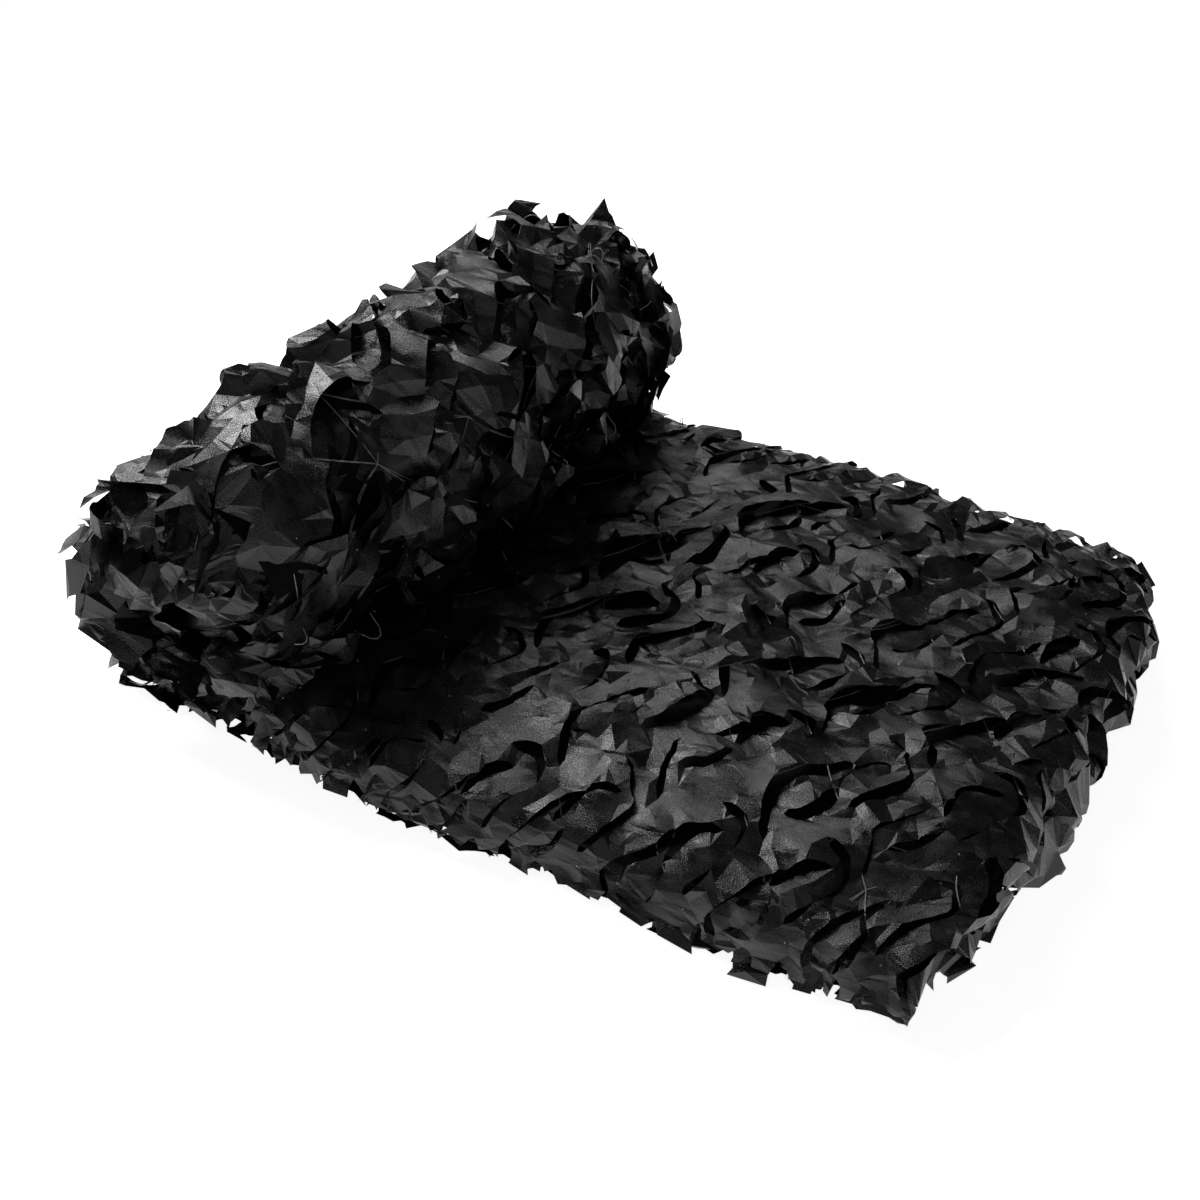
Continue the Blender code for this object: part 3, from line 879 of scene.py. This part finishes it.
FOLD_PUSH = 0.014
FOLD_SPREAD = 1.04
LOOSE_END_X = 0.548


def lay_fold(route, start, seed):
    """Cloth around a fold, pushed out by an uneven amount."""
    middle = LOOSE_CLOTH["width"] / 2

    def mapping(s, w, h):
        local = s - start
        x, z, nx, nz = route.place(local)
        bump = np.sin(np.pi * np.clip(local / route.length, 0, 1)) ** 2
        h = 0.002 + pressed(h, -0.012, 0.026) + bump * FOLD_PUSH * (1 + 1.2 * waver(w, seed, 0.10))
        across = (w - middle) * FOLDED_WIDTH / (2 * middle) * FOLD_SPREAD
        return lay_down(x + nx * h, across, np.maximum(z + nz * h, 0.002))

    return mapping


for number, x_fold in enumerate(FOLD_X[:3]):
    side = 1 if x_fold > 0 else -1
    route = Route(fold_points(x_fold, SKIN + number * PLY_PITCH, side, PLY_PITCH / 2 + SKIN, 0.08), side)
    start = 0.12 + 0.27 * number
    piece_from(f"fold_{number}", LOOSE_CLOTH, (start, start + route.length, 0, TO_EDGE),
               lay_fold(route, start, number + 7))


def lay_loose_end(s, depth, h):
    """The loose end, flat on the floor, its tips towards +X."""
    x = LOOSE_END_X + 0.03 - depth
    return lay_down(x, s - HALF_WIDTH, 0.010 + pressed(h * 0.7, -0.009, 0.012))


edge_band("loose_end", SLAB_CLOTH, True, 0.12, FOLDED_WIDTH, 0.14, lay_loose_end)


# ---- Leaves that hang out of the folds --------------------------------------------------------------
# Loosely folded cloth puffs out of the slab's ends in clumps of coated leaves, which hang one over the
# other and are held by the plies they come from.

FRINGES = (
    {"end": 1, "x": 0.548, "z": 0.112, "y": -0.385, "length": 0.80, "reach": 0.040, "fall": 35},
    {"end": 1, "x": 0.552, "z": 0.078, "y": -0.390, "length": 0.79, "reach": 0.046, "fall": 45},
    {"end": 1, "x": 0.548, "z": 0.040, "y": -0.395, "length": 0.80, "reach": 0.042, "fall": 30},
    {"end": -1, "x": 0.488, "z": 0.085, "y": -0.40, "length": 0.81, "reach": 0.040, "fall": 40},
    {"end": -1, "x": 0.492, "z": 0.035, "y": -0.40, "length": 0.81, "reach": 0.040, "fall": 25},
)
FRINGE_DEPTH = 0.12
FRINGE_CURL = 2.0           # the further out a leaf hangs, the more it curls back


def lay_fringe(row, seed):
    """A band of leaves that leaves an end of the slab at a height and hangs over."""
    fall = math.radians(row["fall"])

    def lay(s, depth, h):
        out = row["reach"] * (1 + 0.35 * waver(s, seed, 0.08)) - depth
        bent = np.maximum(out, 0)
        x = row["x"] + np.minimum(out, 0) + bent * math.cos(fall) - FRINGE_CURL * bent ** 2
        z = row["z"] - bent * math.sin(fall) + 0.008 * waver(s, seed + 9, 0.07)
        h = pressed(h * 0.8, -0.016, 0.026)
        return lay_down(row["end"] * (x + h * math.sin(fall)), row["y"] + s, z + h * math.cos(fall))

    return lay


for number, row in enumerate(FRINGES):
    edge_band(f"fringe_{number}", EDGE_CLOTH, number % 2 > 0, 0.05 + 0.08 * number, row["length"],
              FRINGE_DEPTH, lay_fringe(row, number + 60), mirrored=number > 1)


# ---- The roll's ends --------------------------------------------------------------------------------
# Inside the outer turn the rims of the inner turns show at the roll's two ends, as rows of leaf tips
# that lean in over each other, and crumpled cloth fills the middle.

TURN_DEPTH = 0.15
END_LIMIT = 0.452           # no leaf stands further out along the roll
LEAN_IN = 0.30


def lay_turn(side, route, seed, reach):
    """One inner turn's rim at one end of the roll."""
    splay = 1.1 if side == FRONT else 0.2

    def lay(s, depth, h):
        x, z, nx, nz = route.place(s)
        across = HALF_WIDTH + reach + 0.020 * waver(s, seed, 0.06) - depth
        past = np.maximum(across - HALF_WIDTH + 0.060, 0)
        lean = splay * to_the_left(nx, nz) - LEAN_IN + 0.6 * waver(s, seed + 5, 0.08)
        h = pressed(h * 0.8, -0.025, 0.030) + past * lean
        return lay_down(x + nx * h, side * np.minimum(across, END_LIMIT), z + nz * h)

    return lay


for turn in range(1, 4):
    sweep = turn * 300 - 200
    route = Route(wound_points(sweep, sweep + 366, 0), -1)
    for side in (FRONT, BACK):
        edge_band(f"turn_{END_NAMES[side]}_{turn}", EDGE_CLOTH, (side == BACK) == (turn != 2), 0.12 * turn,
                  route.length, TURN_DEPTH, lay_turn(side, route, turn * 5 + side, 0.030 - 0.010 * turn))

CAP_SIZE = 0.33
CAP_MIDDLE = 0.405          # the crumpled cloth's place along the roll
CAP_BULGE = 0.020
CAP_FALL = 0.075            # and how far its rim lies inside that
CAP_Z = ROLL_Z - 0.012
CAPS = (
    {"side": FRONT, "s": 0.35, "w": 0.40, "x": ROLL_X - 0.035},
    {"side": BACK, "s": 0.90, "w": 0.55, "x": ROLL_X},
)


def lay_cap(row):
    """Crumpled cloth that hangs over a roll's end: a square of cloth drawn round to a disc."""

    def mapping(s, w, h):
        along = s - row["s"] - CAP_SIZE / 2
        up = w - row["w"] - CAP_SIZE / 2
        round_off = np.maximum(np.abs(along), np.abs(up)) / np.maximum(np.hypot(along, up), 1e-6)
        off = np.hypot(along, up) * round_off / (CAP_SIZE / 2)
        bulge = CAP_BULGE - CAP_FALL * off ** 2.5 + 0.014 * waver(along + 1.3 * up, 33, 0.06)
        y = row["side"] * np.minimum(CAP_MIDDLE + bulge + pressed(h, -0.030, 0.028), END_LIMIT)
        return lay_down(row["x"] + along * round_off, y, CAP_Z + up * round_off)

    return mapping


for row in CAPS:
    piece_from(f"cap_{END_NAMES[row['side']]}", EDGE_CLOTH,
               (row["s"], row["s"] + CAP_SIZE, row["w"], row["w"] + CAP_SIZE), lay_cap(row))


# ---- The string mesh --------------------------------------------------------------------------------
# Shiny black cord, twisted of filament polyester and knotted into a wide mesh under the cloth. It
# It shows in the gaps between the leaves, and a knot holds each tie. Cord and knots carry painted glints.

CORD_RADIUS = 0.0007        # the cord is nearer 0.4 mm, drawn thicker so that it shows
CORD_UNDER = -0.015
CORD_BOW = (0.002, 0.009)   # a cord bows sideways by this much
CORD_DIP = (-0.007, 0.001)
LOOP_REACH = (0.008, 0.020)
LOOP_RISE = (0.012, 0.026)
KNOT_RADIUS = 0.0013
TIE_REACH = 0.115           # cords join ties that are nearer to each other than this

# Twisted filament yarn is smooth enough to catch the light in points along its length.
CORD_DARK = "#202021"
# Painted glints: light grey points in the cord's colour stand in for the light its smooth yarn catches.
CORD_GLINT = "#a8a8aa"
GLINT_MM = 3.8462           # spacing of the painted glints: a twist is about 1 mm long, drawn coarser so that it shows


def cord_material():
    """The cord's black yarn, with painted glints along it."""
    material, shader = new_material("polyester_cord_painted_glints")
    shader.inputs["Roughness"].default_value = 0.28
    where = node(material, "ShaderNodeTexCoord")
    glint_spots = node(material, "ShaderNodeTexNoise", [("Vector", where, "Object")],
                 Scale=1000 / GLINT_MM, Detail=1)
    shade = node(material, "ShaderNodeMix", [("Factor", glint_spots, "Fac")], data_type="RGBA")
    shade.inputs[6].default_value = srgb(CORD_DARK)
    shade.inputs[7].default_value = srgb(CORD_GLINT)
    material.node_tree.links.new(shade.outputs[2], shader.inputs["Base Color"])
    return material


CORD = cord_material()


def cord_lines(ties, reach, loops, rng):
    """Cords between neighbouring ties, sagging under the cloth, and a few loose loops above it."""
    nearest = finder(ties)
    lines = []
    for i, tie in enumerate(ties):
        for other, j, _ in nearest.find_range(tie, reach):
            if j <= i:
                continue
            for strand in range(rng.choice((1, 1, 2))):
                bow = Vector((other.y - tie.y, tie.x - other.x, 0)).normalized() * rng.uniform(*CORD_BOW)
                dip = rng.uniform(*CORD_DIP)
                lines.append([tie.lerp(other, t) + bow * math.sin(math.pi * t)
                              + Vector((0, 0, CORD_UNDER + dip * math.sin(math.pi * t)))
                              for t in (0, 0.2, 0.4, 0.6, 0.8, 1)])
    for _ in range(loops):
        tie = rng.choice(ties)
        way = Vector((rng.uniform(-1, 1), rng.uniform(-1, 1), 0)).normalized() * rng.uniform(*LOOP_REACH)
        rise = rng.uniform(*LOOP_RISE)
        lines.append([tie + way * t + Vector((0, 0, rise * math.sin(math.pi * t / 2) ** 0.8))
                      for t in (0, 0.4, 0.8, 1.2, 1.6, 2)])
    return lines


def string_mesh(name, patch, window, mapping, seed, loops, reach=TIE_REACH):
    """The cords of a patch within a window, with knots on its ties."""
    low_s, high_s, low_w, high_w = window
    ties = [Vector((s, w, 0)) for s, w in patch["ties"] if low_s < s < high_s and low_w < w < high_w]
    curve = bpy.data.curves.new(name, "CURVE")
    curve.dimensions = "3D"
    curve.bevel_depth = CORD_RADIUS
    curve.bevel_resolution = 1
    for line in cord_lines(ties, reach, loops, random.Random(seed)):
        places = mapping(*np.array(line).T)
        spline = curve.splines.new("POLY")
        spline.points.add(len(places) - 1)
        for point, place in zip(spline.points, places):
            point.co = (*place, 1)
    shape = bpy.data.objects.new(name, curve)
    mesh = bpy.data.meshes.new_from_object(shape)
    bpy.data.objects.remove(shape)
    bm = bmesh.new()
    bm.from_mesh(mesh)
    cloth_near = finder(patch["shaped"])
    top = np.array([patch["shaped"][cloth_near.find(tie)[1]][2] for tie in ties])
    s, w, _ = np.array(ties).T
    for place in mapping(s, w, top + 0.001):
        bmesh.ops.create_icosphere(bm, subdivisions=1, radius=KNOT_RADIUS, matrix=Matrix.Translation(place))
    bm.to_mesh(mesh)
    bm.free()
    mesh.shade_smooth()
    mesh.materials.append(CORD)
    mesh.name = name
    piece = placed(name, mesh)
    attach(piece, "root")


string_mesh("strings_slab", SLAB_CLOTH, (0.02, cover_route.length, 0.02, 0.96), lay_slab_cover, 5, 10)
string_mesh("strings_roll", OUTER_CLOTH, (0.02, roll_route.length, 0.02, 0.93), lay_roll_cover, 6, 20,
            TIE_REACH * OUTER_LEAF)


# ---- The plies inside -------------------------------------------------------------------------------
# The rest of the strip, from its loose end to the roll's core. It shows only behind the gaps between
# the leaves, in the near-black material that paints the shade there.

ROLL_TURNS = 4.25
INNER_WIDTH = 0.79
INNER_STEP = 0.02
INNER_COLUMNS = 24

inner_points = [(LOOSE_END_X - 0.02, SKIN)]
for ply, x_fold in enumerate(FOLD_X):
    side = 1 if x_fold > 0 else -1
    inner_points += fold_points(x_fold, SKIN + ply * PLY_PITCH, side, PLY_PITCH / 2, 0.50)
inner_points += [(ROLL_X, TOP_PLY_Z)] + wound_points(6, ROLL_TURNS * 360, 0, 10)
inner_route = Route(inner_points, 1)

bm = bmesh.new()
flat_layer = bm.loops.layers.uv.new("flat")
bmesh.ops.create_grid(bm, x_segments=int(inner_route.length / INNER_STEP), y_segments=INNER_COLUMNS,
                      size=0.5, calc_uvs=True)
for loop in (loop for face in bm.faces for loop in face.loops):
    u, v = loop[flat_layer].uv
    loop[flat_layer].uv = (u * inner_route.length, v * INNER_WIDTH)
co = np.array([v.co[:] for v in bm.verts])
x, z, _, _ = inner_route.place((co[:, 0] + 0.5) * inner_route.length)
for vert, place in zip(bm.verts, lay_down(x, co[:, 1] * INNER_WIDTH, z)):
    vert.co = place
inner_mesh = bpy.data.meshes.new("inner_plies")
bm.to_mesh(inner_mesh)
bm.free()
inner_mesh.materials.append(GAP_SHADE_CLOTH)
inner_plies = placed("inner_plies", inner_mesh)
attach(inner_plies, "root")
